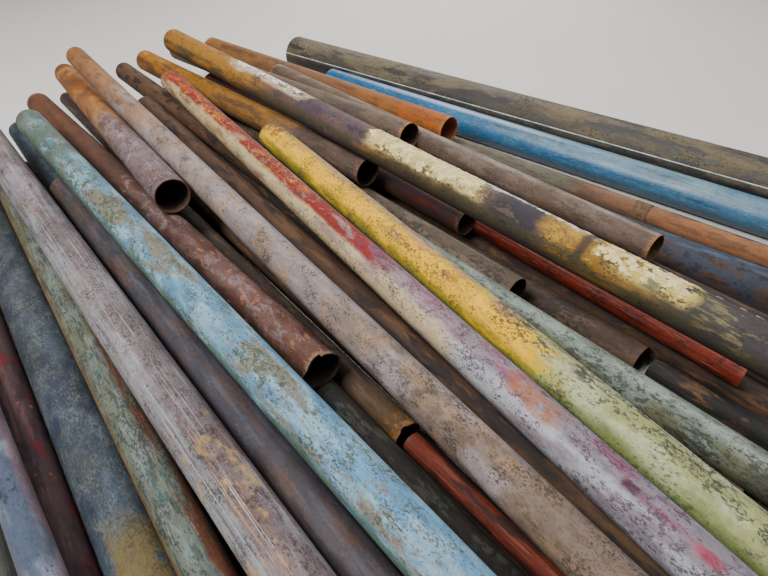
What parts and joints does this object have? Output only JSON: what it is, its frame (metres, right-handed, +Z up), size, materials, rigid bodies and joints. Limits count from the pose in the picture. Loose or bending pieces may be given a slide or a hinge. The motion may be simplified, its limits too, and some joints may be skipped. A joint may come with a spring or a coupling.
{
  "type": "tube stack",
  "caption": "Loose stack of used round steel tubes and pipes of mixed sizes, rusty and with worn paint, lying side by side and across each other.",
  "frame": {"origin": "on the ground under the centre of the stack's box", "axes": "+Z up, +Y along the tubes, away from the open ends seen in the picture, +X across the stack towards the thick striped pipe"},
  "size_m": [4.2376, 7.4152, 0.5401],
  "materials": {
    "back_support": "dark brown rust, in shade",
    "blue_tube": "mid-blue plastic pipe, dusty",
    "bottom_row": "dark brown rust, in shade",
    "brick_red_tube": "brick-red primer with pale long scratches",
    "bronze_offcut": "dark red-brown with a bronze sheen",
    "brown_offcut": "brown-grey rust",
    "coupled_tube": "grey-olive past the collar, pale rust before it",
    "coupling_collar": "rusty sleeve",
    "cross_supports": "dark brown rust, in shade",
    "dark_brown_tube": "dark brown rust",
    "dark_offcut": "dark brown rust",
    "dusty_offcut": "dusty grey-brown rust",
    "edge_tube": "dark grey-green, dirty",
    "front_fillers": "dark brown rust, in shade",
    "grey_brown_tube": "grey-brown rust and dust",
    "grey_green_tube": "dark grey-green, dirty",
    "gunmetal_tube": "gunmetal with brownish bands",
    "mauve_tube": "pale mauve-grey mill scale with pits and score lines",
    "navy_tube": "dark navy coat, rusty on the side",
    "near_supports": "dark brown rust, in shade",
    "ochre_offcut": "brown rust, ochre at the far end",
    "olive_tube": "olive-brown, dirty",
    "orange_offcut": "orange-brown rust",
    "pale_long_tube": "pale mauve-grey mill scale, orange-brown at the far end",
    "peeling_tube": "white, cream and ochre coats peeling from dark bare steel",
    "plum_tube": "dull plum-brown rust and old primer",
    "rear_supports": "dark brown rust, in shade",
    "red_tube": "worn red and cream paint over lilac-grey scale, pink smears",
    "rust_offcut": "rust, orange at the far end, mauve-grey with dark flakes near the mouth",
    "sage_tube": "sage grey-green paint with dark mould below",
    "second_row": "dark brown rust, in shade",
    "shaded_tube": "brown rust and dust",
    "silver_tube": "light blue-grey paint, pinkish where worn, fine dark cracks",
    "slate_tube": "dark slate-blue, dusty, with an ochre patch",
    "small_red_tube": "red-brown rust, scratched",
    "streaked_tube": "grey-green with long streaks and a rusty edge",
    "striped_pipe": "black plastic water pipe with thin pale stripes, dusty on top",
    "teal_tube": "dark teal-grey, in shade",
    "thin_grey_tube": "dusty grey",
    "torch_cut_tube": "brown rust with mauve scale, bright at the cut rim",
    "torn_tube": "dark brown rust, rusty-yellow at the torn rim",
    "turquoise_tube": "pale turquoise paint with green-brown speckle and bare patches",
    "upper_support": "dark brown rust, in shade",
    "yellow_tube": "worn yellow paint, chalky pale green near end, black chips"
  },
  "bodies": {
    "root": {"back_support": "back_support", "blue_tube": "blue_tube", "bottom_row": "bottom_row", "brick_red_tube": "brick_red_tube", "bronze_offcut": "bronze_offcut", "brown_offcut": "brown_offcut", "coupled_tube": "coupled_tube", "coupling_collar": "coupling_collar", "cross_supports": "cross_supports", "dark_brown_tube": "dark_brown_tube", "dark_offcut": "dark_offcut", "dusty_offcut": "dusty_offcut", "edge_tube": "edge_tube", "front_fillers": "front_fillers", "grey_brown_tube": "grey_brown_tube", "grey_green_tube": "grey_green_tube", "gunmetal_tube": "gunmetal_tube", "mauve_tube": "mauve_tube", "navy_tube": "navy_tube", "near_supports": "near_supports", "ochre_offcut": "ochre_offcut", "olive_tube": "olive_tube", "orange_offcut": "orange_offcut", "pale_long_tube": "pale_long_tube", "peeling_tube": "peeling_tube", "plum_tube": "plum_tube", "rear_supports": "rear_supports", "red_tube": "red_tube", "rust_offcut": "rust_offcut", "sage_tube": "sage_tube", "second_row": "second_row", "shaded_tube": "shaded_tube", "silver_tube": "silver_tube", "slate_tube": "slate_tube", "small_red_tube": "small_red_tube", "streaked_tube": "streaked_tube", "striped_pipe": "striped_pipe", "teal_tube": "teal_tube", "thin_grey_tube": "thin_grey_tube", "torch_cut_tube": "torch_cut_tube", "torn_tube": "torn_tube", "turquoise_tube": "turquoise_tube", "upper_support": "upper_support", "yellow_tube": "yellow_tube"}
  },
  "joints": []
}
